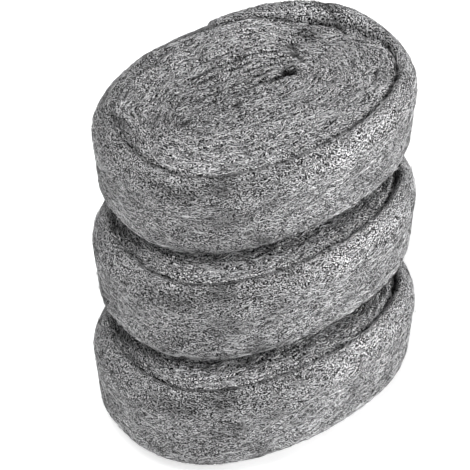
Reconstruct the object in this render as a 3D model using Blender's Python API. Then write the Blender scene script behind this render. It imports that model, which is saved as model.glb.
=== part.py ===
"""A bundle of three steel wool rolls, stacked one on another.

Each roll is one long strip of steel wool, wound into a flat oval coil and laid on its side, so
that the edges of its turns show on the top and the underside. Every roll rests on the one below,
a little further back. +Z is up, +X runs along the rolls, and the origin is at the middle of the
bundle's box, on the surface it stands on.
"""

import math

import bmesh
import bpy

# One roll, in metres
STRIP_WIDTH = 0.080
ROLL_LENGTH = 0.237
ROLL_WIDTH = 0.172
TOP_EDGE_INSET = 0.010
TOP_EDGE_FALL = 0.018
BOTTOM_EDGE_RADIUS = 0.025
WALL_LEAN = 0.0036

# The winding: where the strip's outer end lies, how thick the strip is on top, how far its end
# stands off the side wall, and the core
TURNS = 11
STRIP_END_ANGLE = math.radians(76)
STRIP_THICKNESS = 0.0045
STRIP_END_STEP = 0.0017
CORE_LENGTH = 0.090
CORE_WIDTH = 0.010
CORE_OFFSET = -0.015

# The groove inside the outermost turn: how much further in it lies where that turn stands off the
# others, and its depth by the angle round the coil, in degrees and metres
SLACK = 0.0085
SLACK_ANGLE = math.radians(34)
SLACK_REACH = math.radians(27)
GROOVE = (
    (-180, 0.0040),
    (-165, 0.0045),
    (-145, 0.0018),
    (-115, 0.0018),
    (-85, 0.0050),
    (-40, 0.0075),
    (20, 0.0085),
    (60, 0.0060),
    (90, 0.0025),
    (140, 0.0025),
    (165, 0.0045),
    (180, 0.0040),
)

# The creases between the other turns, which gape behind the core
TOP_CREASE_DEPTH = 0.0016
GAPING_DEPTH = 0.0026
GAPING_PLACE = (0.005, 0.026)
GAPING_REACH = (0.044, 0.022)
UNDER_CREASE_DEPTH = 0.0020

# The dip in the top at the back right, the eye at the end of the core, and the ledge between them,
# where the inner turns end
DIP_DEPTH = 0.0090
DIP_PLACE = (0.082, 0.030)
DIP_REACH = (0.034, 0.031)
EYE_DEPTH = 0.0170
EYE_PLACE = (0.0310, 0.0028)
EYE_REACH = (0.0052, 0.0044)
LEDGE_DEPTH = 0.0045
LEDGE_X = 0.0445
LEDGE_BEND = 0.0075
LEDGE_SPAN = (0.009, 0.039)
LEDGE_STEEP = 0.0028
LEDGE_FADE = 0.016

# The bundle
ROLL_NAMES = ("roll_bottom", "roll_middle", "roll_top")
SETBACK = (0.0121, 0.0163)
RESTING_GAP = 0.0003

# Shape of the oval, and how finely it is divided
OVAL_POWER = 2.3
STEP_SHARE = 0.30
FIRST_STEP_SHARE = 0.11
COLUMNS_PER_TURN = 28
ROUNDING_STEPS = 3
SHOULDERS = (0.27, 0.73)
INNER_END_WIDTH = 0.4
CORE_MIDDLE_PLACE = 0.6
SMOOTH_BELOW = math.radians(50)

STEEL_COLOUR = (0.33, 0.33, 0.335, 1.0)


def smooth_step(value):
    """0 below 0, 1 above 1, and an even ease between."""
    t = min(max(value, 0.0), 1.0)
    return t * t * (3 - 2 * t)


def bell(x, y, place, reach):
    """A bell of height 1 at a place, which falls off over its reach in each direction."""
    along = (x - place[0]) / reach[0]
    across = (y - place[1]) / reach[1]
    return math.exp(-along * along - across * across)


def turn_index(turns_in):
    """Turns passed, counted so that each turn runs level and steps in over its last stretch, which
    is shorter on the outermost turn."""
    whole = math.floor(turns_in)
    stretch = STEP_SHARE if whole > 0 else FIRST_STEP_SHARE
    return whole + smooth_step((turns_in - whole - 1 + stretch) / stretch)


def angle_at(turns_in):
    """The strip is wound anticlockwise from the core, so going in from its end runs clockwise."""
    return STRIP_END_ANGLE - 2 * math.pi * turns_in


def angle_between(angle, other):
    """The turn from other to angle, from minus half a turn to half a turn."""
    return math.atan2(math.sin(angle - other), math.cos(angle - other))


def oval(angle, inset):
    """A point on the roll's outer oval, moved in by inset at right angles to it."""
    a = ROLL_LENGTH / 2
    b = ROLL_WIDTH / 2
    c = math.cos(angle)
    s = math.sin(angle)
    radius = (abs(c / a) ** OVAL_POWER + abs(s / b) ** OVAL_POWER) ** (-1 / OVAL_POWER)
    x = radius * c
    y = radius * s
    slope_x = math.copysign(abs(x / a) ** (OVAL_POWER - 1) / a, x)
    slope_y = math.copysign(abs(y / b) ** (OVAL_POWER - 1) / b, y)
    steepness = math.hypot(slope_x, slope_y)
    return x - inset * slope_x / steepness, y - inset * slope_y / steepness


def step_in(turns_in, thickness):
    """How much further in the strip's edge or its outer surface lies: by a thickness, once a turn
    has passed."""
    return thickness * min(turn_index(turns_in), 1)


def core_loop(angle, share):
    """A point on the flat hollow core, drawn in to a share of its width at the strip's start."""
    x = CORE_OFFSET + CORE_LENGTH / 2 * math.cos(angle)
    y = CORE_WIDTH / 2 * share * math.sin(angle)
    return x, y


def crease_point(turns_in, edge_inset, slack):
    """Where the crease between turns lies. It starts on the edge and ends in the core."""
    angle = angle_at(turns_in)
    index = turn_index(turns_in)
    off = angle_between(angle, SLACK_ANGLE) / SLACK_REACH
    extra = slack * math.exp(-off * off) * min(index, 1)
    outside = oval(angle, edge_inset + step_in(turns_in, STRIP_THICKNESS) + extra)
    inward = min(max((index - 1) / (TURNS - 2), 0.0), 1.0)
    width_share = 1 - (1 - INNER_END_WIDTH) * min(max(index - TURNS + 1, 0.0), 1.0)
    inside = core_loop(angle, width_share)
    return tuple(o + (i - o) * inward for o, i in zip(outside, inside))


def groove_depth(angle):
    """The depth of the groove inside the outermost turn, between the given angles' depths."""
    degrees = math.degrees(angle_between(angle, 0))
    for (start, start_depth), (end, end_depth) in zip(GROOVE, GROOVE[1:]):
        if degrees <= end:
            return start_depth + (end_depth - start_depth) * (degrees - start) / (end - start)
    return GROOVE[-1][1]


def top_crease_depth(turns_in, x, y):
    """None on the outer edge, then the groove's depth, then that of the creases inside it."""
    index = turn_index(turns_in)
    groove = groove_depth(angle_at(turns_in))
    if index < 1:
        return index * groove
    fine = TOP_CREASE_DEPTH + GAPING_DEPTH * bell(x, y, GAPING_PLACE, GAPING_REACH)
    return groove + (fine - groove) * smooth_step(index - 1)


def under_crease_depth(turns_in, x, y):
    """The underside is pressed flat, and its creases are shallow."""
    return UNDER_CREASE_DEPTH * min(turn_index(turns_in), 1)


def sunk(x, y):
    """How far the turns inside the outermost one have sunk at this place."""
    depth = DIP_DEPTH * bell(x, y, DIP_PLACE, DIP_REACH) + EYE_DEPTH * bell(x, y, EYE_PLACE, EYE_REACH)
    start, end = LEDGE_SPAN
    past = x - LEDGE_X - LEDGE_BEND * smooth_step((y - start) / (end - start))
    beside = smooth_step((y - start) / 0.006) * smooth_step((end - y) / 0.010)
    drop = smooth_step(past / LEDGE_STEEP) * math.exp(-max(past, 0) / LEDGE_FADE)
    return depth + LEDGE_DEPTH * drop * beside


def fallen(share, index):
    """How much of a crease's depth is left at a share of the turn's width from it. The outermost
    turn rounds down over its whole width, and the others over half of theirs."""
    reach = 1 - 0.5 * smooth_step(index)
    near = max(1 - share / reach, 0)
    return 1 - math.sqrt(1 - near * near)


def top_height(x, y, index, share, outer, inner):
    """Height of the top face, a share of the way across a turn from its outer crease. outer and
    inner are the depths of the creases beside it."""
    settled = index + (1 - index) * fallen(1 - share, index) if index < 1 else 1
    return (
        STRIP_WIDTH
        - settled * sunk(x, y)
        - outer * fallen(share, index)
        - inner * fallen(1 - share, index)
    )


def under_height(x, y, index, share, outer, inner):
    """Height of the underside: the turns lie flat, and only the creases stand off."""
    if share == 0:
        return outer
    if share == 1:
        return inner
    return 0.0


def add_face_of_turns(mesh, edge_inset, slack, depth, height):
    """Adds one flat face of the roll, a spiral band with a crease on each side of every turn.

    Returns its vertices in winding order: the creases, and the shoulders between them in pairs.
    """
    count = TURNS * COLUMNS_PER_TURN
    turns_in = [k / COLUMNS_PER_TURN for k in range(count + 1)]
    places = [crease_point(turn, edge_inset, slack) for turn in turns_in]
    depths = [depth(turn, *place) for turn, place in zip(turns_in, places)]
    creases = []
    for turn, (x, y), deep in zip(turns_in, places, depths):
        creases.append(mesh.verts.new((x, y, height(x, y, turn_index(turn), 0, deep, 0))))
    shoulders = []
    for k in range(count + 1 - COLUMNS_PER_TURN):
        inner = k + COLUMNS_PER_TURN
        pair = []
        for share in SHOULDERS:
            x, y = (o + (i - o) * share for o, i in zip(places[k], places[inner]))
            z = height(x, y, turn_index(turns_in[k]), share, depths[k], depths[inner])
            pair.append(mesh.verts.new((x, y, z)))
        shoulders.append(pair)
    for k in range(count - COLUMNS_PER_TURN):
        here = [creases[k], *shoulders[k], creases[k + COLUMNS_PER_TURN]]
        there = [creases[k + 1], *shoulders[k + 1], creases[k + 1 + COLUMNS_PER_TURN]]
        for i in range(len(here) - 1):
            mesh.faces.new((here[i], here[i + 1], there[i + 1], there[i]))
    return creases, shoulders


def wall_profile():
    """The side from the top's edge to the underside's, as (inset, height) from the outer oval."""
    quarter = [math.pi / 2 * i / ROUNDING_STEPS for i in range(ROUNDING_STEPS + 1)]
    top = [
        (TOP_EDGE_INSET * (1 - math.sin(q)), STRIP_WIDTH - TOP_EDGE_FALL * (1 - math.cos(q)))
        for q in quarter
    ]
    bottom = [
        (
            WALL_LEAN + BOTTOM_EDGE_RADIUS * (1 - math.cos(q)),
            BOTTOM_EDGE_RADIUS * (1 - math.sin(q)),
        )
        for q in quarter
    ]
    middle = tuple((a + b) / 2 for a, b in zip(top[-1], bottom[0]))
    return [*top, middle, *bottom]


def add_wall(mesh, top_edge, under_edge):
    """Joins the two faces' edges by the outer wrap's rounded side, column by column."""
    rows = [top_edge]
    for inset, z in wall_profile()[1:-1]:
        row = []
        for k in range(COLUMNS_PER_TURN + 1):
            turns_in = k / COLUMNS_PER_TURN
            x, y = oval(angle_at(turns_in), inset + step_in(turns_in, STRIP_END_STEP))
            row.append(mesh.verts.new((x, y, z)))
        rows.append(row)
    rows.append(under_edge)
    for upper, lower in zip(rows, rows[1:]):
        for k in range(COLUMNS_PER_TURN):
            mesh.faces.new((upper[k], upper[k + 1], lower[k + 1], lower[k]))
    return rows


def add_strip_end(mesh, rows, top_shoulders, under_shoulders):
    """Closes the step where the strip's outer end lies on the turn below it."""
    first = [row[0] for row in rows]
    last = [row[-1] for row in rows]
    mesh.faces.new((first[0], first[1], last[1], last[0], *reversed(top_shoulders)))
    for i in range(1, len(rows) - 2):
        mesh.faces.new((first[i], first[i + 1], last[i + 1], last[i]))
    mesh.faces.new((first[-2], first[-1], *under_shoulders, last[-1], last[-2]))


def add_core(mesh, creases, shoulders, height):
    """Fills the core with a fan of faces round a point in its right half, as high as given."""
    inner_loop = creases[-COLUMNS_PER_TURN - 1 :]
    face = mesh.faces.new((*inner_loop, *reversed(shoulders[-1])))
    middle = bmesh.ops.poke(mesh, faces=[face])["verts"][0]
    middle.co = (CORE_OFFSET + CORE_MIDDLE_PLACE * CORE_LENGTH / 2, 0.0, height)


def build_roll(name, material):
    """One roll in its own frame: its underside at z = 0 and its oval's middle at the origin."""
    mesh = bmesh.new()
    top_creases, top_shoulders = add_face_of_turns(
        mesh, TOP_EDGE_INSET, SLACK, top_crease_depth, top_height
    )
    under_creases, under_shoulders = add_face_of_turns(
        mesh, WALL_LEAN + BOTTOM_EDGE_RADIUS, 0, under_crease_depth, under_height
    )
    top_edge = top_creases[: COLUMNS_PER_TURN + 1]
    under_edge = under_creases[: COLUMNS_PER_TURN + 1]
    rows = add_wall(mesh, top_edge, under_edge)
    add_strip_end(mesh, rows, top_shoulders[0], under_shoulders[0])
    add_core(mesh, top_creases, top_shoulders, STRIP_WIDTH)
    add_core(mesh, under_creases, under_shoulders, 0.0)
    bmesh.ops.triangulate(mesh, faces=mesh.faces[:])
    bmesh.ops.recalc_face_normals(mesh, faces=mesh.faces[:])
    data = bpy.data.meshes.new(name)
    mesh.to_mesh(data)
    mesh.free()
    data.shade_smooth()
    data.set_sharp_from_angle(angle=SMOOTH_BELOW)
    data.materials.append(material)
    roll = bpy.data.objects.new(name, data)
    bpy.context.scene.collection.objects.link(roll)
    return roll


def steel_wool():
    """Dull grey steel fibre."""
    material = bpy.data.materials.new("steel_wool")
    material.use_nodes = True
    shader = material.node_tree.nodes["Principled BSDF"]
    shader.inputs["Base Color"].default_value = STEEL_COLOUR
    shader.inputs["Metallic"].default_value = 0.6
    shader.inputs["Roughness"].default_value = 0.55
    return material


def stack(rolls):
    """Rests each roll on the one below, further back, then centres the bundle's box on z."""
    for level, roll in enumerate(rolls):
        roll.location.x = SETBACK[0] * level
        roll.location.y = SETBACK[1] * level
        roll.location.z = (STRIP_WIDTH + RESTING_GAP) * level
    for axis in (0, 1):
        places = [v.co[axis] + roll.location[axis] for roll in rolls for v in roll.data.vertices]
        middle = (min(places) + max(places)) / 2
        for roll in rolls:
            roll.location[axis] -= middle


def main():
    for old in list(bpy.data.objects):
        bpy.data.objects.remove(old)
    material = steel_wool()
    stack([build_roll(name, material) for name in ROLL_NAMES])


main()
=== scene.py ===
"""The look of a bundle of three steel wool rolls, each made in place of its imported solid."""

import math

import bpy
import numpy as np
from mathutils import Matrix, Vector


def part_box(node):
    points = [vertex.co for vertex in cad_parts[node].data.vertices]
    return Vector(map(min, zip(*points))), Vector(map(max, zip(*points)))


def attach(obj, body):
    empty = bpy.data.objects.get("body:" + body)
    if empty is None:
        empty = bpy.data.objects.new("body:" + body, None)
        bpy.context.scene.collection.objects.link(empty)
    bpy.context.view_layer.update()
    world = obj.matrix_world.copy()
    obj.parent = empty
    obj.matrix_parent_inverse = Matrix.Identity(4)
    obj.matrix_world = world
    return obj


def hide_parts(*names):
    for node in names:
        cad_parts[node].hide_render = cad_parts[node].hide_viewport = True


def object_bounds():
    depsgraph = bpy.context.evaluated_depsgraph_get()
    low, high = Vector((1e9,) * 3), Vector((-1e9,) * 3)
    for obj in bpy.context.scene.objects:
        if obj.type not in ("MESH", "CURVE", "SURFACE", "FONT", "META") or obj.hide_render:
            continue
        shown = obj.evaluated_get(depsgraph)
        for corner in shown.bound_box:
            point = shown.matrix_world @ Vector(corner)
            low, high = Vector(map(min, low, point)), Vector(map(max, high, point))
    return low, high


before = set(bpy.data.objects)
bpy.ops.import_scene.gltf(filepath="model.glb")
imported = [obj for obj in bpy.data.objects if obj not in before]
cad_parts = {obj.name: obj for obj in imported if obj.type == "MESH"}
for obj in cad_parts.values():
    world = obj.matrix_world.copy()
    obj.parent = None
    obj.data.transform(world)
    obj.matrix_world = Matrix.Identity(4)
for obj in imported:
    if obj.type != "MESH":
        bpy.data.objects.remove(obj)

cad_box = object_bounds()

# The coils
# Each roll is one long strip of felted steel fibre, wound anticlockwise into a flat oval and laid
# on its side, so that its turns show as soft ridges on top. The outermost turn is a firm wrap.

# One roll's outline and the section of its wrap, as the solids have them
OVAL_LENGTH = 0.237
OVAL_WIDTH = 0.172
OVAL_POWER = 2.3
STRIP_WIDTH = 0.080
RIM_INSET = 0.010
RIM_FALL = 0.018
WALL_LEAN = 0.0036
FOOT_RADIUS = 0.025
FOOT_INSET = WALL_LEAN + FOOT_RADIUS

# The winding: how thick the strip is on top, how far its outer end stands off the wall, over what
# share of a turn it steps in, the core, and how slim that is where the strip starts. Then the place
# at the back right where the wrap stands off the turns inside it, and how far the creases wander.
TURNS = 11
END_ANGLE = math.radians(76)
STRIP_THICKNESS = 0.0045
END_STEP = 0.0017
FIRST_STEP_SHARE = 0.11
STEP_SHARE = 0.30
CORE_HALF = (0.045, 0.005)
CORE_MIDDLE = -0.015
START_SHARE = 0.4
SLACK = 0.0085
SLACK_ANGLE = math.radians(34)
SLACK_REACH = math.radians(27)
WANDER = 0.0015
WANDER_SIZE = 0.022


def eased(value):
    """0 below 0 and 1 above 1, with an even ease between: t squared times (3 - 2t)."""
    t = np.clip(value, 0, 1)
    return t * t * (3 - 2 * t)


def bell(x, y, middle, reach):
    """A bell of height 1 at middle, which falls off over reach in each direction."""
    return np.exp(-(((x - middle[0]) / reach[0]) ** 2) - ((y - middle[1]) / reach[1]) ** 2)


def lumps(points, size, seed):
    """Even random lumps about size across: plane waves of about that length, each in a random
    direction, added up and scaled to a spread of about one."""
    waves = 28
    rng = np.random.default_rng(seed)
    ways = rng.normal(size=(points.shape[-1], waves))
    ways *= 2 * np.pi / size * rng.uniform(0.7, 1.3, waves) / np.linalg.norm(ways, axis=0)
    starts = rng.uniform(0, 2 * np.pi, waves)
    return np.cos(points @ ways + starts).sum(-1) / math.sqrt(waves / 2)


def turns_passed(s):
    """Whole turns wound at s, with each turn level and stepping in over its last stretch, which is
    shorter on the outermost turn."""
    stretch = np.where(s < 1, FIRST_STEP_SHARE, STEP_SHARE)
    return np.floor(s) + eased((s - np.floor(s) - 1 + stretch) / stretch)


def angle_at(s):
    """The angle round the coil, s turns in from the strip's outer end, going clockwise."""
    return END_ANGLE - 2 * np.pi * s


def oval(angle, inset):
    """A superellipse in polar form, moved in by inset along its own normal."""
    half = np.array([OVAL_LENGTH, OVAL_WIDTH]) / 2
    ray = np.stack([np.cos(angle), np.sin(angle)], -1)
    radius = (np.abs(ray / half) ** OVAL_POWER).sum(-1) ** (-1 / OVAL_POWER)
    edge = ray * radius[..., None]
    normal = np.sign(edge) * np.abs(edge / half) ** (OVAL_POWER - 1) / half
    normal /= np.linalg.norm(normal, axis=-1, keepdims=True)
    return edge - normal * np.asarray(inset)[..., None]


def step_in(s, thickness):
    """How much further in the strip's edge or the wall lies: by a thickness, once the first turn
    has passed."""
    return thickness * np.minimum(turns_passed(s), 1)


def crease(s, top):
    """Where the crease between turns lies in plan on one face, s turns in: a blend from the stepped
    oval, with the wrap's slack on top, to a flat loop round the core. It wanders a little."""
    angle = angle_at(s)
    index = turns_passed(s)
    off = np.arctan2(np.sin(angle - SLACK_ANGLE), np.cos(angle - SLACK_ANGLE))
    slack = SLACK * np.exp(-((off / SLACK_REACH) ** 2)) * np.minimum(index, 1)
    inset = RIM_INSET + slack if top else FOOT_INSET
    outside = oval(angle, inset + step_in(s, STRIP_THICKNESS))
    slim = 1 - (1 - START_SHARE) * np.clip(index - TURNS + 1, 0, 1)
    inside = np.stack([CORE_MIDDLE + CORE_HALF[0] * np.cos(angle), CORE_HALF[1] * slim * np.sin(angle)], -1)
    inward = np.clip((index - 1) / (TURNS - 2), 0, 1)
    span = inside - outside
    places = outside + span * inward[..., None]
    aside = WANDER * lumps(places, WANDER_SIZE, 41) * eased(index - 1) * (1 - inward)
    return outside + span * (inward + aside / np.linalg.norm(span, axis=-1))[..., None]


# The groove inside the wrap, by the angle round the coil in degrees: its depth, its painted shade,
# and how far that reaches to both sides, in millimetres. It is up to about 3 mm shallower than the
# solid's. Last, the painted shade on the wrap itself, which makes some sides darker than others, and
# the further painted shade on its rim.
GROOVE_ANGLES = (-180, -165, -145, -115, -85, -40, 20, 60, 90, 140, 165, 180)
GROOVE_DEPTHS = (3.0, 4.0, 1.8, 1.8, 5.0, 7.5, 7.5, 5.0, 2.5, 2.0, 2.0, 3.0)
GROOVE_PAINTED_SHADES = (0.55, 0.65, 0.15, 0.2, 0.60, 0.80, 0.5, 0.4, 0.35, 0.2, 0.05, 0.55)
GROOVE_REACHES = (2.8, 2.6, 2.6, 2.2, 1.9, 1.7, 1.6, 1.4, 1.6, 3.0, 3.0, 2.8)
WRAP_PAINTED_SHADES = (0.13, 0.06, 0.23, 0.17, 0.0, 0.23, 0.10, 0.32, 0.18, 0.26, 0.28, 0.13)
RIM_PAINTED_SHADES = (0.14, 0.32, 0.27, 0.20, 0.22, 0.0, 0.0, 0.08, 0.14, 0.12, 0.12, 0.14)

# The rim's painted shade starts at this height and is full this much higher, and the lumps of
# matting have this size, this darkness and this limit
RIM_FROM = 0.060
RIM_OVER = 0.014
MATTED_SIZE = 0.030
MATTED_DARK = 0.14
MATTED_MOST = 1.8


def at_angle(s, values):
    """A value of one of the tables at s turns in, blended between the tables' angles."""
    angle = angle_at(s)
    return np.interp(np.degrees(np.arctan2(np.sin(angle), np.cos(angle))), GROOVE_ANGLES, values)


# Other creases: the fine ones between turns, those that gape behind the core, the ones down the
# middle of each turn, and the underside's
FINE_CREASE = 0.0016
GAPING_CREASE = 0.0026
GAPING_PLACE = (0.005, 0.026)
GAPING_REACH = (0.044, 0.022)
PLY_CREASE = 0.0013
UNDER_CREASE = 0.0020

# How deep a finer crease is where it is painted dark, how far that painted shade reaches to both
# sides, and how much of it is left away from the wider place round those that gape
DARK_DEPTH = 0.0016
DARK_REACH = 0.0011
DARK_LEFT = 0.3
DARK_SPAN = (0.055, 0.032)

# How much of the groove's depth is even and how much opens and closes, and how much of the fine
# creases' depth is there everywhere and how much only where they gape
GROOVE_SHARES = (0.8, 0.2)
FINE_SHARES = (0.6, 0.4)

# How the creases open and close along the strip, and how the groove's painted shade breaks into
# patches: each with the size of its patches, their seed, their level and spread, and their limits
GAPE = (0.026, 31, 1, 0.7, (0.1, 1.7))
GROOVE_SHADE_PATCHES = (0.007, 62, 0.80, 0.3, (0.25, 1.1))


def patchy(x, y, size, seed, level, spread, limits):
    """Random patches about size across: a level plus spread times the lumps, kept in the limits."""
    return np.clip(level + spread * lumps(np.stack([x, y], -1), size, seed), *limits)


def crease_depth(s, x, y):
    """How deep the crease is, s turns in: none on the edge, then the wrap's groove, then the finer
    creases inside, which gape behind the core and open and close along the strip."""
    index = turns_passed(s)
    gape = patchy(x, y, *GAPE)
    groove = at_angle(s, GROOVE_DEPTHS) / 1000 * (GROOVE_SHARES[0] + GROOVE_SHARES[1] * gape)
    open_here = bell(x, y, GAPING_PLACE, GAPING_REACH)
    fine = gape * (FINE_CREASE * (FINE_SHARES[0] + FINE_SHARES[1] * open_here) + GAPING_CREASE * open_here)
    return np.where(index < 1, index * groove, groove + (fine - groove) * eased(index - 1))


def painted_crease_shade(s, x, y, depth, gap):
    """The painted shade at a gap beside the crease, s turns in: a bell, as high as the groove's table
    says, in patches, or for the finer creases 1 less e to the power of minus depth over
    DARK_DEPTH, which is full where they gape and less elsewhere."""
    finer = eased(turns_passed(s) - 1)
    shown = DARK_LEFT + (1 - DARK_LEFT) * bell(x, y, GAPING_PLACE, DARK_SPAN)
    shade_patchiness = patchy(x, y, *GROOVE_SHADE_PATCHES)
    level = at_angle(s, GROOVE_PAINTED_SHADES) * shade_patchiness * (1 - finer)
    level = level + shown * (1 - np.exp(-depth / DARK_DEPTH)) * finer
    reach = at_angle(s, GROOVE_REACHES) / 1000 * (1 - finer) + DARK_REACH * finer
    return level * np.minimum(turns_passed(s), 1) * np.exp(-((gap / reach) ** 2))


def wrap_shade_and_matting(s, x, y, z):
    """How dark the wrap is, s turns in: painted shade from the tables, which makes some sides of the
    wrap and its rim darker, and more in wide soft lumps of matting."""
    patches = MATTED_DARK * np.clip(lumps(np.stack([x, y, z], -1), MATTED_SIZE, 51), 0, MATTED_MOST)
    return at_angle(s, WRAP_PAINTED_SHADES) + at_angle(s, RIM_PAINTED_SHADES) * eased((z - RIM_FROM) / RIM_OVER) + patches


# What has sunk inside the wrap, each row with its place, its reach along x and y, its depth and
# its painted shade: the wide dip at the back right, a shaded place in it, the shaded place at the
# ledge, the eye and the slit beside it, the dimples, the soft shaded places at the left end, and the
# middle, which hasn't sunk and is only painted a little darker
HOLLOWS = (
    ((0.082, 0.030), (0.034, 0.031), 0.0090, 0.0),
    ((0.0690, 0.0345), (0.0120, 0.0075), 0.0008, 0.50),
    ((0.0445, 0.0190), (0.0024, 0.0065), 0.0016, 0.75),
    ((0.0315, 0.0030), (0.0043, 0.0042), 0.0160, 2.2),
    ((0.0215, 0.0012), (0.0070, 0.0015), 0.0060, 1.3),
    ((-0.0195, -0.0055), (0.0040, 0.0022), 0.0025, 0.9),
    ((0.0105, 0.0348), (0.0036, 0.0018), 0.0030, 0.9),
    ((-0.072, 0.017), (0.0070, 0.0050), 0.0020, 0.35),
    ((-0.060, 0.001), (0.0060, 0.0035), 0.0015, 0.45),
    ((-0.042, -0.037), (0.0050, 0.0100), 0.0016, 0.15),
    ((-0.0945, 0.032), (0.0036, 0.0190), 0.0015, 0.55),
    ((-0.1010, 0.008), (0.0034, 0.0110), 0.0010, 0.35),
    ((-0.038, 0.003), (0.0550, 0.0380), 0.0, 0.25),
)

# The ledge where the inner turns end at the dip: a line that bends away from the eye, with a
# narrow trench at its foot, which the solids don't have. The ledge sets in and ends over the
# lengths in LEDGE_ENDS. The trench's painted shade comes in patches, with their size, seed, level,
# spread and limits.
LEDGE_X = 0.0445
LEDGE_BEND = 0.0075
LEDGE_SPAN = (0.003, 0.040)
LEDGE_ENDS = (0.008, 0.012)
LEDGE_DEPTH = 0.0045
LEDGE_STEEP = 0.0028
LEDGE_FADE = 0.016
TRENCH_DEPTH = 0.0030
TRENCH_REACH = 0.0028
TRENCH_PLACE = 0.7
TRENCH_SHADE_PATCHES = (0.008, 61, 0.75, 0.4, (0.2, 1))


def sunk(x, y):
    """How far the turns inside the wrap have sunk, and the painted shade there: bells for the hollows,
    and a ledge that drops across a bent line to a trench with patchy painted shade and fades away
    behind it."""
    found = [(deep * bell(x, y, middle, reach), dark * bell(x, y, middle, reach))
             for middle, reach, deep, dark in HOLLOWS]
    depth, darkness = (sum(pair) for pair in zip(*found))
    from_line = x - LEDGE_X - LEDGE_BEND * eased((y - LEDGE_SPAN[0]) / (LEDGE_SPAN[1] - LEDGE_SPAN[0]))
    beside = eased((y - LEDGE_SPAN[0]) / LEDGE_ENDS[0]) * eased((LEDGE_SPAN[1] - y) / LEDGE_ENDS[1])
    drop = eased(from_line / LEDGE_STEEP) * np.exp(-np.maximum(from_line, 0) / LEDGE_FADE)
    trench = np.exp(-(((from_line - LEDGE_STEEP * TRENCH_PLACE) / TRENCH_REACH) ** 2))
    shade_patchiness = patchy(x, y, *TRENCH_SHADE_PATCHES)
    return depth + (LEDGE_DEPTH * drop + TRENCH_DEPTH * trench) * beside, darkness + shade_patchiness * trench * beside


# A tuck that crosses the wrap at the back right, from the groove towards the rim, which the solids
# don't have. It starts at TUCK_FROM above the floor and is full TUCK_OVER higher.
TUCK = ((0.0925, 0.022), (0.0950, 0.052))
TUCK_DEPTH = 0.0022
TUCK_REACH = 0.0014
TUCK_FROM = 0.055
TUCK_OVER = 0.015
# How much painted shade lies in the tuck
TUCK_PAINTED_SHADE = 0.6


def tuck(x, y):
    """How far a place is in the tuck, from 0 to 1: a bell of the distance to the line between the
    tuck's two ends."""
    (ax, ay), (bx, by) = TUCK
    long, wide = bx - ax, by - ay
    t = np.clip(((x - ax) * long + (y - ay) * wide) / (long ** 2 + wide ** 2), 0, 1)
    gap = np.hypot(x - ax - t * long, y - ay - t * wide)
    return np.exp(-((gap / TUCK_REACH) ** 2))


# The lumps that crumple the skin: their sizes, how far they push it aside, how far it sags and
# where that starts, and over what height above the floor the sagging sets in
WIDE_LUMP = 0.045
SAGGING_LUMP = 0.035
FINE_LUMP = 0.012
WIDE_PUSH = 0.00015
FINE_PUSH = 0.00004
SAG = 0.0003
SAG_FROM = 0.8
FINE_SAG = 0.00006
SOLE_REACH = 0.012


def crumpled(x, y, z, dark):
    """Moves points a little by wide soft lumps and down into the tuck, and gives them as rows of
    x, y, z and painted shade, to which the tuck adds its own painted shade. Nothing rises more than
    about 0.2 mm above the crests, and what lies on the floor stays on it."""
    points = np.stack([x, y, z], -1)
    aside = [WIDE_PUSH * lumps(points, WIDE_LUMP, 10 + i) + FINE_PUSH * lumps(points, FINE_LUMP, 20 + i)
             for i in (0, 1)]
    down = np.minimum(SAG * (lumps(points, SAGGING_LUMP, 12) - SAG_FROM), 0)
    down = down - FINE_SAG * (1 + lumps(points, FINE_LUMP, 22))
    tucked = tuck(x, y) * eased((z - TUCK_FROM) / TUCK_OVER)
    down = eased(z / SOLE_REACH) * (down - TUCK_DEPTH * tucked)
    return np.stack([x + aside[0], y + aside[1], z + down, np.clip(dark + TUCK_PAINTED_SHADE * tucked, 0, 1)], -1)


# How finely the skin is divided: columns round each turn, steps across it and how much they crowd
# to its creases and its middle, steps down the wall, rings in to the core's middle, and the rim's
# and the foot's shares of the wall's steps
COLUMNS = 216
ACROSS_STEPS = 10
CROWDING = 0.7
WALL_STEPS = 36
CORE_RINGS = (0.0, 0.25, 0.5, 0.75, 0.97)
RIM_SHARE = 0.20
FOOT_SHARE = 0.38

# How much painted shade the underside's creases, the ones down the turns' middles and the rim's
# inner edge get.
# Then how far the first reach, as a share of what they would on top, and the second, as a share
# of the turn's width.
UNDER_DARK = 0.5
PLY_DARK = 0.5
EDGE_DARK = 0.35
UNDER_REACH = 0.6
PLY_REACH = 0.10

# The patches that deepen the creases down the turns' middles, and the strands beside them: how deep
# and how long these are, and how wide as a share of the turn
PLY_PATCHES = (0.022, 33, 0.6, 1, (0, 2.2))
STRAND_DEPTH = 0.00020
STRAND_LENGTH = 0.020
STRAND_WIDTH = 0.3


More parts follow.
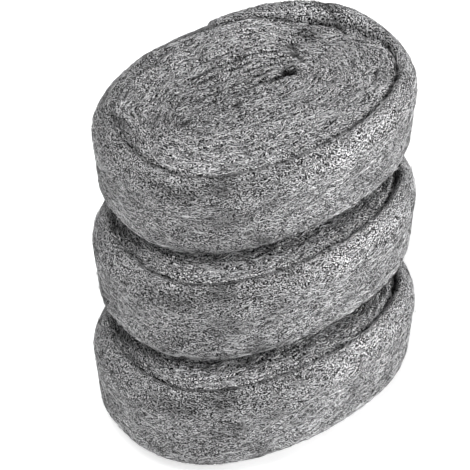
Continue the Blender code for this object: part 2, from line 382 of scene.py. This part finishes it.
def face_grid(top):
    """One face of the coil. Rows run along the strip from its outer end, and columns across each
    turn, from the crease outside it to the one inside. On top a turn is a pillow that falls to
    both creases in quarter ellipses and is plied double; below it is pressed flat. A deep crease
    is painted dark, and that painted shade falls off to both sides of it as a bell."""
    step = np.linspace(0, 1, ACROSS_STEPS + 1)
    w = step - CROWDING * np.sin(4 * np.pi * step) / (4 * np.pi)
    s = np.arange((TURNS - 1) * COLUMNS + 1)[:, None] / COLUMNS
    outer, inner = crease(s, top), crease(s + 1, top)
    x, y = np.moveaxis(outer + (inner - outer) * w[:, None], -1, 0)
    index = turns_passed(s)
    reach = 1 - 0.5 * eased(index)

    def fall(t):
        near = np.clip(1 - t / reach, 0, 1)
        return 1 - np.sqrt(1 - near * near)

    if not top:
        z = UNDER_CREASE * (np.minimum(index, 1) * fall(w / UNDER_REACH) + fall((1 - w) / UNDER_REACH))
        # The underside's creases are painted darker by their depth
        return crumpled(x, y, z, UNDER_DARK * z / UNDER_CREASE)
    outside = crease_depth(s, *np.moveaxis(outer, -1, 0))
    inside = crease_depth(s + 1, *np.moveaxis(inner, -1, 0))
    settled = np.where(index < 1, index + (1 - index) * fall(1 - w), 1)
    depth, darkness = sunk(x, y)
    ply = PLY_CREASE * patchy(x, y, *PLY_PATCHES)
    ply = ply * np.exp(-(((w - 0.5) / PLY_REACH) ** 2)) * np.minimum(index, 1)
    run = np.cumsum(np.append(0, np.linalg.norm(np.diff(outer[:, 0], axis=0), axis=-1)))[:, None]
    places = np.stack([run / STRAND_LENGTH + 0 * w, s + w / STRAND_WIDTH], -1)
    strand = STRAND_DEPTH * lumps(places, 1.0, 34) * np.sin(np.pi * w)
    folds = outside * fall(w) + inside * fall(1 - w) + ply + np.minimum(index, 1) * np.abs(strand)
    across = np.linalg.norm(inner - outer, axis=-1)
    # Painted shade in the hollows, in the creases down the turns' middles and beside both creases, and on
    # the outermost turn the wrap's painted shade and patches of matting
    dark = settled * darkness + PLY_DARK * (1 - np.exp(-ply / DARK_DEPTH))
    dark = dark + painted_crease_shade(s, x, y, outside, across * w)
    dark = dark + painted_crease_shade(s + 1, x, y, inside, across * (1 - w))
    dark = dark + (1 - np.minimum(index, 1)) * wrap_shade_and_matting(s, x, y, STRIP_WIDTH + 0 * x)
    return crumpled(x, y, STRIP_WIDTH - settled * depth - folds, dark)


def wall_grid():
    """The wrap's side. Rows run along the strip, and columns down: a quarter ellipse from the rim,
    a leaning wall, and a quarter circle at the foot. Its two edges bend to the faces' edges."""
    s = np.arange(COLUMNS + 1)[:, None] / COLUMNS
    q = np.linspace(0, 1, WALL_STEPS + 1)
    rim = np.clip(q / RIM_SHARE, 0, 1)
    down = np.clip((q - RIM_SHARE) / (1 - RIM_SHARE - FOOT_SHARE), 0, 1)
    foot = np.clip((q - 1 + FOOT_SHARE) / FOOT_SHARE, 0, 1)
    inset = RIM_INSET * (1 - np.sin(rim * np.pi / 2)) + WALL_LEAN * down
    inset = inset + FOOT_RADIUS * (1 - np.cos(foot * np.pi / 2))
    z = STRIP_WIDTH - RIM_FALL * (1 - np.cos(rim * np.pi / 2)) - FOOT_RADIUS * np.sin(foot * np.pi / 2)
    z = z - (STRIP_WIDTH - RIM_FALL - FOOT_RADIUS) * down
    x, y = np.moveaxis(oval(angle_at(s), inset + step_in(s, END_STEP)), -1, 0)
    edge_x, edge_y = np.moveaxis(crease(s, True), -1, 0)
    sole_x, sole_y = np.moveaxis(crease(s, False), -1, 0)
    near, low = (1 - rim) ** 2, foot ** 2
    x, y = x + (edge_x - x) * near, y + (edge_y - y) * near
    x, y = x + (sole_x - x) * low, y + (sole_y - y) * low
    passed = np.minimum(turns_passed(s), 1)
    lifted = UNDER_CREASE * passed * np.clip(2 * foot - 1, 0, 1) ** 2
    sag = (passed * sunk(edge_x, edge_y)[0] + crease_depth(s, edge_x, edge_y)) * near
    z = z - sag + lifted
    # Painted shade along the rim's inner edge, and the wrap's painted shade and patches of matting
    return crumpled(x, y, z, EDGE_DARK * passed * near + wrap_shade_and_matting(s, x, y, z))


# The core's middle line, as a share of its length, and how far its wool lies below the crests
SPINE_SHARE = 0.9
CORE_SINK = 0.0008


def core_grid(face, top):
    """The core. Rows run along the innermost crease and back over the strip's start, and columns
    go in from there to a line down the middle. The wool between rises to the turns' height, and on
    top it sinks into the slit and the eye."""
    loop = np.concatenate([face[-COLUMNS - 1:, -1], face[-1, -2::-1]])[:, None]
    spine = np.clip(loop[..., 0], CORE_MIDDLE - SPINE_SHARE * CORE_HALF[0],
                    CORE_MIDDLE + SPINE_SHARE * CORE_HALF[0])
    share = np.array(CORE_RINGS)
    x = loop[..., 0] + (spine - loop[..., 0]) * share
    y = loop[..., 1] * (1 - share)
    risen = np.sqrt(1 - (1 - share) ** 2)
    z = loop[..., 2] * (1 - risen)
    # The painted shade at the loop fades towards the middle; on top the slit's and the eye's painted shade
    # is added
    dark = loop[..., 3] * (1 - risen)
    if top:
        before, after = sunk(loop[..., 0], loop[..., 1]), sunk(x, y)
        z = z + (STRIP_WIDTH - CORE_SINK) * risen + before[0] * (1 - risen) - after[0]
        dark = np.clip(dark + after[1] - before[1] * (1 - risen), 0, 1)
    return np.stack([x, y, z, dark], -1)


# The strip's end bends to the faces over its height divided by this
END_BEND = 8


def end_grid(top, wall, under):
    """The strip's outer end. Rows run down it and columns across its thickness, straight from the
    wrap's first column to its last, and bent near both faces to meet their first rows."""
    across = np.linalg.norm((top[0] - top[0, 0])[:, :3], axis=-1)
    w = (across / across[-1])[:, None]
    flat = wall[0][:, None] * (1 - w) + wall[-1][:, None] * w
    q = np.linspace(0, 1, WALL_STEPS + 1)[:, None, None]
    flat += (top[0] - flat[0]) * np.clip(1 - q * END_BEND, 0, 1)
    return flat + (under[0] - flat[-1]) * np.clip(1 - (1 - q) * END_BEND, 0, 1)


def distances(points):
    """The length walked down a grid's rows, along its middle column."""
    steps = np.linalg.norm(np.diff(points[:, points.shape[1] // 2, :3], axis=0), axis=-1)
    return np.append(0, np.cumsum(steps))


def mesh_from(name, corners, maps):
    """A closed mesh from its faces' corner points, given as arrays with one row a face. Corners
    that share a place to a micrometre become one vertex. maps holds UV maps in the same order."""
    sizes = np.concatenate([np.full(len(c), c.shape[1]) for c in corners])
    every = np.concatenate([c.reshape(-1, 3) for c in corners])
    whole, first, ids = np.unique(np.round(every, 6), axis=0, return_index=True, return_inverse=True)
    mesh = bpy.data.meshes.new(name)
    mesh.vertices.add(len(first))
    mesh.vertices.foreach_set("co", every[first].ravel())
    mesh.loops.add(len(ids.ravel()))
    mesh.loops.foreach_set("vertex_index", ids.ravel())
    mesh.polygons.add(len(sizes))
    mesh.polygons.foreach_set("loop_start", np.append(0, np.cumsum(sizes)[:-1]))
    for title, values in maps.items():
        layer = mesh.uv_layers.new(name=title)
        layer.uv.foreach_set("vector", np.concatenate([v.reshape(-1, 2) for v in values]).ravel())
    mesh.update(calc_edges=True)
    mesh.validate()
    mesh.shade_smooth()
    return mesh


def cells(grid):
    """The four corners of each cell of a grid, in order round the cell."""
    around = [grid[:-1, :-1], grid[:-1, 1:], grid[1:, 1:], grid[1:, :-1]]
    return np.stack(around, 2).reshape(-1, 4, *grid.shape[2:])


coil = {}
for side, top in (("top", True), ("under", False)):
    coil[side] = face_grid(top)
    coil[side + "_core"] = core_grid(coil[side], top)
coil["wall"] = wall_grid()
coil["end"] = end_grid(coil["top"], coil["wall"], coil["under"])


# Places on the square page that the skin is baked on, and the page's side
PAGE = 0.46
TOP_ON_PAGE = (0.122, 0.362)
UNDER_ON_PAGE = (0.350, 0.362)
WALL_ON_PAGE = ((0.006, 0.262), (0.006, 0.142))
END_ON_PAGE = (0.420, 0.262)


def coil_skin():
    """The coil's faces as corner points, with their UV maps. The map named strip gives metres
    along and across the strip, or in plan on the core, and the map named dark gives the painted
    shade along x.
    OFBake lays the skin out flat on one page: the faces and cores in plan, and the wall unrolled in
    two halves."""
    corners, strip, dark, baked = [], [], [], []

    def keep(faces, felt, page):
        corners.append(faces[..., :3])
        strip.append(felt)
        dark.append(faces[..., 3:] * [1, 0])
        baked.append(page / PAGE)

    def take(grid, felt, page, turned):
        way = slice(None, None, -1) if turned else slice(None)
        keep(*(cells(part)[:, way] for part in (grid, felt, page)))

    for side, middle in (("top", TOP_ON_PAGE), ("under", UNDER_ON_PAGE)):
        face, core = coil[side], coil[side + "_core"]
        across = np.linalg.norm(face[..., :2] - face[:, :1, :2], axis=-1)
        felt = np.stack([distances(face)[:, None] + 0 * across, across], -1)
        take(face, felt, face[..., :2] + middle, side == "under")
        take(core, core[..., :2], core[..., :2] + middle, side == "under")
        rim = core[:-1, -1]
        fan = np.stack([rim, core[1:, -1], np.broadcast_to(rim.mean(0), rim.shape)], 1)
        fan = fan if side == "under" else fan[:, ::-1]
        keep(fan, fan[..., :2], fan[..., :2] + middle)
    wall = coil["wall"]
    run = distances(wall)
    fall = distances(wall.transpose(1, 0, 2))
    unrolled = np.stack(np.meshgrid(run, -fall, indexing="ij"), -1)
    half = COLUMNS // 2
    for rows, corner in zip((slice(0, half + 1), slice(half, COLUMNS + 1)), WALL_ON_PAGE):
        flat = unrolled[rows]
        take(wall[rows], flat, flat - [flat[0, 0, 0], 0] + corner, True)
    end = coil["end"]
    deep = np.linspace(0, STRIP_THICKNESS, end.shape[1])
    flat = np.stack(np.meshgrid(-fall, deep, indexing="ij")[::-1], -1)
    take(end, flat, flat + END_ON_PAGE, False)
    return corners, {"strip": strip, "dark": dark, "OFBake": baked}


def node(tree, kind, settings=None, **inputs):
    """Adds a shader node, with its settings, and its inputs as values or as links from other
    nodes' sockets. An input is named, or numbered with an underscore before it."""
    made = tree.nodes.new(kind)
    for name, value in (settings or {}).items():
        setattr(made, name, value)
    for name, value in inputs.items():
        socket = made.inputs[int(name[1:])] if name[0] == "_" else made.inputs[name]
        if isinstance(value, bpy.types.NodeSocket):
            tree.links.new(value, socket)
        else:
            socket.default_value = value
    return made


def felted_steel():
    """Matted fibre: a fine stretched noise, cut to bright strokes on a dark ground, in three layers
    that lie within 21 degrees of the strip's way and take turns in small patches. Painted shade
    darkens it where the map named dark says: in the creases and hollows, and on the wrap and its rim."""
    material = bpy.data.materials.new("felted_steel")
    material.use_nodes = True
    tree = material.node_tree
    shader = tree.nodes["Principled BSDF"]
    place = node(tree, "ShaderNodeUVMap", {"uv_map": "strip"}).outputs[0]
    sway = node(tree, "ShaderNodeTexNoise", Vector=place, Scale=90.0, Detail=1.0)
    swayed = node(tree, "ShaderNodeVectorMath", {"operation": "MULTIPLY_ADD"},
                  _0=sway.outputs["Color"], _1=(0.003, 0.003, 0.0), _2=place).outputs[0]
    grain = None
    for number, angle in enumerate((3, -17, 21)):
        laid = node(tree, "ShaderNodeMapping", {"vector_type": "TEXTURE"}, Vector=swayed,
                    Rotation=(0.0, 0.0, math.radians(angle)), Scale=(0.0013, 0.00078, 1.0))
        noise = node(tree, "ShaderNodeTexNoise", Vector=laid.outputs[0], Scale=1.0, Detail=0.0)
        strokes = node(tree, "ShaderNodeMapRange", {"interpolation_type": "SMOOTHSTEP"},
                       Value=noise.outputs[0], _1=0.525, _2=0.555, _3=0.0, _4=1.0).outputs[0]
        if grain is None:
            grain = strokes
            continue
        patch = node(tree, "ShaderNodeTexNoise", {"noise_dimensions": "4D"}, Vector=place,
                     W=number * 3.0, Scale=420.0, Detail=0.0)
        chosen = node(tree, "ShaderNodeMapRange", Value=patch.outputs[0], _1=0.50, _2=0.56,
                      _3=0.0, _4=1.0).outputs[0]
        grain = node(tree, "ShaderNodeMix", Factor=chosen, _2=grain, _3=strokes).outputs[0]
    # The painted shade from the map named dark scales the grain down to as little as 0.06 of itself
    inside = node(tree, "ShaderNodeSeparateXYZ",
                  Vector=node(tree, "ShaderNodeUVMap", {"uv_map": "dark"}).outputs[0])
    painted_shade_factor = node(tree, "ShaderNodeMapRange", Value=inside.outputs[0], _1=0.0, _2=1.0, _3=1.0, _4=0.06)
    grain = node(tree, "ShaderNodeMath", {"operation": "MULTIPLY"}, _0=grain, _1=painted_shade_factor.outputs[0]).outputs[0]
    ramp = node(tree, "ShaderNodeValToRGB", Fac=grain)
    ramp.color_ramp.elements[0].color = (0.004, 0.004, 0.004, 1)
    ramp.color_ramp.elements[1].color = (0.85, 0.85, 0.86, 1)
    tree.links.new(ramp.outputs[0], shader.inputs["Base Color"])
    relief = node(tree, "ShaderNodeBump", Strength=1.0, Distance=0.0004, Height=grain)
    tree.links.new(relief.outputs[0], shader.inputs["Normal"])
    shader.inputs["Metallic"].default_value = 0.5
    shader.inputs["Roughness"].default_value = 0.55
    shader.inputs["Specular IOR Level"].default_value = 0.05
    return material


felt = felted_steel()
skin, skin_maps = coil_skin()
roll_places = {}
for roll in ("roll_bottom", "roll_middle", "roll_top"):
    low, high = (np.array(corner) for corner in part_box(roll))
    place = np.array([(low[0] + high[0]) / 2, low[1] + OVAL_WIDTH / 2, low[2]])
    roll_places[roll] = place
    mesh = mesh_from(roll + "_wool", [part + place for part in skin], skin_maps)
    mesh.materials.append(felt)
    wool = bpy.data.objects.new(roll + "_wool", mesh)
    bpy.context.scene.collection.objects.link(wool)
    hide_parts(roll)
    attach(wool, "root")

# The fibres
# Single steel fibres lie on the felt, most of them along the strip, and a few stand off it. Each
# is a thin three-sided shaving that comes to a point at both ends: short slivers and long hairs.

SLIVER = {"points": 3, "length": (0.0014, 0.0034), "radius": (0.00020, 0.00032), "shade": (0.45, 0.80)}
HAIR = {"points": 4, "length": (0.005, 0.013), "radius": (0.00020, 0.00032), "shade": (1.2, 0.6)}
FIBRE_SHADES = (0.02, 0.98)

# The share of fibres that lie at any angle and how far those turn, how strongly fibres arch and
# wave, the least pace along or across a surface, and the least step between a fibre's points
STRAY_SHARE = 0.07
STRAY_ANGLE = 1.4
BENDS = (0.10, 0.03)
LEAST_PACE = 0.0003
LEAST_STEP = 0.0002

# How many lie on each surface, how far they turn from the strip's way, and how far they stand off
LAYERS = {
    "side": (("wall", SLIVER, 12500, 0.42, 0.0004), ("wall", HAIR, 3600, 0.45, 0.0006),
             ("wall", HAIR, 50, 0.60, 0.0030), ("end", SLIVER, 60, 0.50, 0.0004)),
    "faces": (("top", SLIVER, 10000, 0.42, 0.0004), ("top", HAIR, 2200, 0.40, 0.0006),
              ("top", HAIR, 40, 0.60, 0.0025), ("top_core", SLIVER, 450, 0.50, 0.0006),
              ("under", SLIVER, 2000, 0.40, 0.0001), ("under_core", SLIVER, 100, 0.50, 0.0001)),
}


def at(grid, u, v):
    """The point of a grid's surface at row u and column v, blended between the four around it."""
    rows, columns = grid.shape[0] - 1, grid.shape[1] - 1
    u, v = np.clip(u, 0, rows), np.clip(v, 0, columns)
    i, j = np.minimum(u.astype(int), rows - 1), np.minimum(v.astype(int), columns - 1)
    f, g = (u - i)[..., None], (v - j)[..., None]
    near = grid[i, j] * (1 - g) + grid[i, j + 1] * g
    far = grid[i + 1, j] * (1 - g) + grid[i + 1, j + 1] * g
    return near * (1 - f) + far * f


def scattered(grid, count, rng):
    """Rows and columns of places spread evenly over a grid: cells are drawn by their area, and
    each place lies anywhere in its cell."""
    over = grid[1:, :-1] - grid[:-1, :-1]
    across = grid[:-1, 1:] - grid[:-1, :-1]
    area = np.cumsum(np.linalg.norm(np.cross(over, across), axis=-1))
    cell = np.searchsorted(area, rng.uniform(0, area[-1], count))
    row, column = np.divmod(np.minimum(cell, area.size - 1), grid.shape[1] - 1)
    return row + rng.random(count), column + rng.random(count)


def carried(u, v, columns):
    """Carries a path from one turn to the next where it crosses a crease."""
    turns = np.floor(v / columns)
    turns = np.clip(turns, -np.floor(u / COLUMNS), np.floor(TURNS - 1 - u / COLUMNS))
    return u + turns * COLUMNS, v - turns * columns


def laid(surface, kind, count, spread, lift, rng):
    """Paths and normals of fibres laid on a surface of the coil, and the painted shade there. Each
    starts anywhere, runs along the strip at a random angle of about spread, or now and then at any
    angle, and bends as it goes. It lies from a fifth of lift below the surface to 1.2 lifts above."""
    grid = coil[surface][..., :3]
    u, v = scattered(grid, count, rng)
    dark = at(coil[surface], u, v)[..., 3]
    pace = np.linalg.norm(at(grid, u + 0.5, v) - at(grid, u - 0.5, v), axis=-1)[:, None]
    width = np.linalg.norm(at(grid, u, v + 0.5) - at(grid, u, v - 0.5), axis=-1)[:, None]
    t = np.linspace(-0.5, 0.5, kind["points"])
    stray = rng.random(count) < STRAY_SHARE
    turned = rng.uniform(-STRAY_ANGLE, STRAY_ANGLE, count)
    angle = np.where(stray, turned, rng.normal(0, spread, count))[:, None]
    size = rng.uniform(*kind["length"], count)[:, None]
    arch, wave = rng.normal(0, BENDS, (count, 2)).T[..., None]
    bend = arch * (4 * t * t - 0.5) + wave * np.sin(2 * np.pi * t)
    along = size * (t * np.cos(angle) - bend * np.sin(angle))
    aside = size * (t * np.sin(angle) + bend * np.cos(angle))
    u = u[:, None] + along / np.maximum(pace, LEAST_PACE)
    v = v[:, None] + aside / np.maximum(width, LEAST_PACE)
    if surface in ("top", "under"):
        u, v = carried(u, v, grid.shape[1] - 1)
    over = at(grid, u + 0.5, v) - at(grid, u - 0.5, v)
    across = at(grid, u, v + 0.5) - at(grid, u, v - 0.5)
    outward = np.cross(across, over) * (-1 if surface in ("wall", "under", "under_core") else 1)
    normal = outward / np.maximum(np.linalg.norm(outward, axis=-1, keepdims=True), 1e-12)
    start, tilt = rng.uniform((0, -0.5), (1, 0.5), (count, 2)).T[..., None]
    rise = lift * np.clip(start + tilt * t * 2, -0.2, 1.2)
    paths = at(grid, u, v) + normal * rise[..., None]
    whole = np.linalg.norm(np.diff(paths, axis=1), axis=-1).min(1) > LEAST_STEP
    return paths[whole], normal[whole], dark[whole]


def tubes(paths, normals, radius):
    """Three-sided tubes along paths, pointed at both ends: each inner point of a path gets a ring
    of three corners, and the tips close the tube. Gives the faces' corner points, and for each
    corner its height along the fibre."""
    way = np.gradient(paths, axis=1)
    way /= np.linalg.norm(way, axis=-1, keepdims=True)
    side = np.cross(way, normals)
    side /= np.maximum(np.linalg.norm(side, axis=-1, keepdims=True), 1e-12)
    up = np.cross(side, way)
    rings = paths.shape[1] - 2
    turn = np.radians([90, 330, 210])[:, None]
    around = np.cos(turn) * side[:, 1:-1, None] + np.sin(turn) * up[:, 1:-1, None]
    ring = paths[:, 1:-1, None] + around * radius[:, None, None, None]
    points = np.concatenate([paths[:, :1], ring.reshape(len(paths), -1, 3), paths[:, -1:]], 1)
    ids = 1 + np.arange(rings)[:, None] * 3 + np.arange(3)
    after = np.roll(ids, -1, axis=1)
    start = np.stack([np.zeros(3, int), after[0], ids[0]], 1)
    finish = np.stack([ids[-1], after[-1], np.full(3, 1 + rings * 3)], 1)
    one = np.stack([ids[:-1], after[:-1], after[1:]], -1).reshape(-1, 3)
    two = np.stack([ids[:-1], after[1:], ids[1:]], -1).reshape(-1, 3)
    pattern = np.concatenate([start, one, two, finish])
    height = np.concatenate([[0], np.repeat(np.arange(1, rings + 1), 3), [rings + 1]]) / (rings + 1)
    return points[:, pattern], height[pattern]


def loose_steel():
    """Bright or dark fibre: a fibre's own shade, a random tone lowered by the felt's painted shade
    where it lies, comes from its place on its UV map.
    """
    material = bpy.data.materials.new("loose_steel")
    material.use_nodes = True
    tree = material.node_tree
    shader = tree.nodes["Principled BSDF"]
    place = node(tree, "ShaderNodeUVMap", {"uv_map": "shade"}).outputs[0]
    shade = node(tree, "ShaderNodeSeparateXYZ", Vector=place)
    ramp = node(tree, "ShaderNodeValToRGB", Fac=shade.outputs[0])
    ramp.color_ramp.elements[0].color = (0.012, 0.012, 0.012, 1)
    ramp.color_ramp.elements[1].color = (0.90, 0.90, 0.91, 1)
    tree.links.new(ramp.outputs[0], shader.inputs["Base Color"])
    shader.inputs["Metallic"].default_value = 0.6
    shader.inputs["Roughness"].default_value = 0.38
    shader.inputs["Specular IOR Level"].default_value = 0.05
    return material


steel = loose_steel()
for number, (roll, place) in enumerate(roll_places.items()):
    rng = np.random.default_rng(100 + number)
    for part, layers in LAYERS.items():
        corners, shades = [], []
        for surface, kind, count, spread, lift in layers:
            paths, normals, dark = laid(surface, kind, count, spread, lift, rng)
            paths = paths + place
            paths[..., 2] = np.maximum(paths[..., 2], 0.0004)
            found, height = tubes(paths, normals, rng.uniform(*kind["radius"], len(paths)))
            # A random shade for each fibre, painted darker where the felt beneath has painted shade
            shade = rng.beta(*kind["shade"], len(paths)) * (1 - 0.95 * dark)
            shade = np.clip(shade, *FIBRE_SHADES)[:, None, None] + 0.004 * (np.arange(3) - 1)
            corners.append(found.reshape(-1, 3, 3))
            shades.append(np.stack(np.broadcast_arrays(shade, 0.05 + 0.9 * height), -1).reshape(-1, 3, 2))
        name = roll + "_fibres_" + part
        mesh = mesh_from(name, corners, {"shade": shades, "OFBake": shades})
        mesh.materials.append(steel)
        fibres = bpy.data.objects.new(name, mesh)
        bpy.context.scene.collection.objects.link(fibres)
        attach(fibres, "root")

# The room
# A plain white floor under a pale sky, broad lamps from the right and from above, weak ones from
# the left and behind, and a long lens that looks down on the bundle from the photograph's side.

FLOOR_REACH = 30.0
PAPER_GLOW = 0.62
SKY_LIGHT = 0.10
CAMERA_TURN = math.radians(36.7)
CAMERA_HEIGHT = math.radians(42)
CAMERA_DISTANCE = 5.0
PIXELS_PER_METRE = 1440
PICTURE = 470
TOP_ROLL_PIXEL = (255.07, 175.48)

# How far the lamps stand off and how wide they are. Then each one's turn round the bundle, from
# the camera's side towards the picture's right, its height, both in degrees, and its power.
LAMP_DISTANCE = 2.0
LAMP_SIZE = 1.0
LAMPS = {
    "right": (80, 12, 37),
    "above": (-20, 68, 30),
    "left": (-60, 40, 8),
    "behind": (120, 12, 6),
}


def seen_directly(tree):
    """1 where the camera, a reflection or a view through glass sees the surface, and 0 elsewhere."""
    sight = node(tree, "ShaderNodeLightPath")
    seen = sight.outputs["Is Camera Ray"]
    for other in ("Is Glossy Ray", "Is Transmission Ray"):
        seen = node(tree, "ShaderNodeMath", {"operation": "MAXIMUM"}, _0=seen,
                    _1=sight.outputs[other]).outputs[0]
    return seen


scene = bpy.context.scene
floor_mesh = bpy.data.meshes.new("floor")
floor_mesh.from_pydata(
    [(x * FLOOR_REACH, y * FLOOR_REACH, 0) for x, y in ((-1, -1), (1, -1), (1, 1), (-1, 1))],
    [], [(0, 1, 2, 3)])
floor = bpy.data.objects.new("floor", floor_mesh)
scene.collection.objects.link(floor)
paper = bpy.data.materials.new("paper")
paper.use_nodes = True
glow = node(paper.node_tree, "ShaderNodeMath", {"operation": "MULTIPLY"}, _0=seen_directly(paper.node_tree),
            _1=PAPER_GLOW)
shader = paper.node_tree.nodes["Principled BSDF"]
shader.inputs["Base Color"].default_value = (0.85, 0.85, 0.85, 1)
shader.inputs["Roughness"].default_value = 1.0
shader.inputs["Specular IOR Level"].default_value = 0.0
shader.inputs["Emission Color"].default_value = (1, 1, 1, 1)
paper.node_tree.links.new(glow.outputs[0], shader.inputs["Emission Strength"])
floor_mesh.materials.append(paper)

world = bpy.data.worlds.new("sky")
world.use_nodes = True
scene.world = world
level = node(world.node_tree, "ShaderNodeMapRange", Value=seen_directly(world.node_tree),
             _1=0.0, _2=1.0, _3=SKY_LIGHT, _4=1.0)
background = world.node_tree.nodes["Background"]
world.node_tree.links.new(level.outputs[0], background.inputs["Strength"])
background.inputs["Color"].default_value = (1, 1, 1, 1)

ahead = np.array([math.sin(CAMERA_TURN), math.cos(CAMERA_TURN), 0])
look = ahead * math.cos(CAMERA_HEIGHT) - [0, 0, math.sin(CAMERA_HEIGHT)]
right = np.array([math.cos(CAMERA_TURN), -math.sin(CAMERA_TURN), 0])
up = np.cross(right, look)
off = (np.array([PICTURE / 2, PICTURE / 2]) - TOP_ROLL_PIXEL) / PIXELS_PER_METRE
aim = roll_places["roll_top"] + right * off[0] - up * off[1]
camera_data = bpy.data.cameras.new("camera")
camera_data.sensor_width = 36
camera_data.lens = camera_data.sensor_width * CAMERA_DISTANCE * PIXELS_PER_METRE / PICTURE
camera_data.clip_end = 200
camera = bpy.data.objects.new("camera", camera_data)
camera.location = aim - look * CAMERA_DISTANCE
camera.rotation_euler = (math.pi / 2 - CAMERA_HEIGHT, 0, -CAMERA_TURN)
scene.collection.objects.link(camera)
scene.camera = camera

middle = (np.array(cad_box[0]) + np.array(cad_box[1])) / 2
for name, (turn, height, power) in LAMPS.items():
    turn, height = math.radians(turn), math.radians(height)
    lamp_data = bpy.data.lights.new(name, "AREA")
    lamp_data.size = LAMP_SIZE
    lamp_data.energy = power
    lamp = bpy.data.objects.new(name, lamp_data)
    away = (right * math.sin(turn) - ahead * math.cos(turn)) * math.cos(height) + [0, 0, math.sin(height)]
    lamp.location = middle + away * LAMP_DISTANCE
    lamp.rotation_euler = (math.pi / 2 - height, 0, math.atan2(away[1], away[0]) + math.pi / 2)
    scene.collection.objects.link(lamp)

scene.view_settings.view_transform = "Standard"
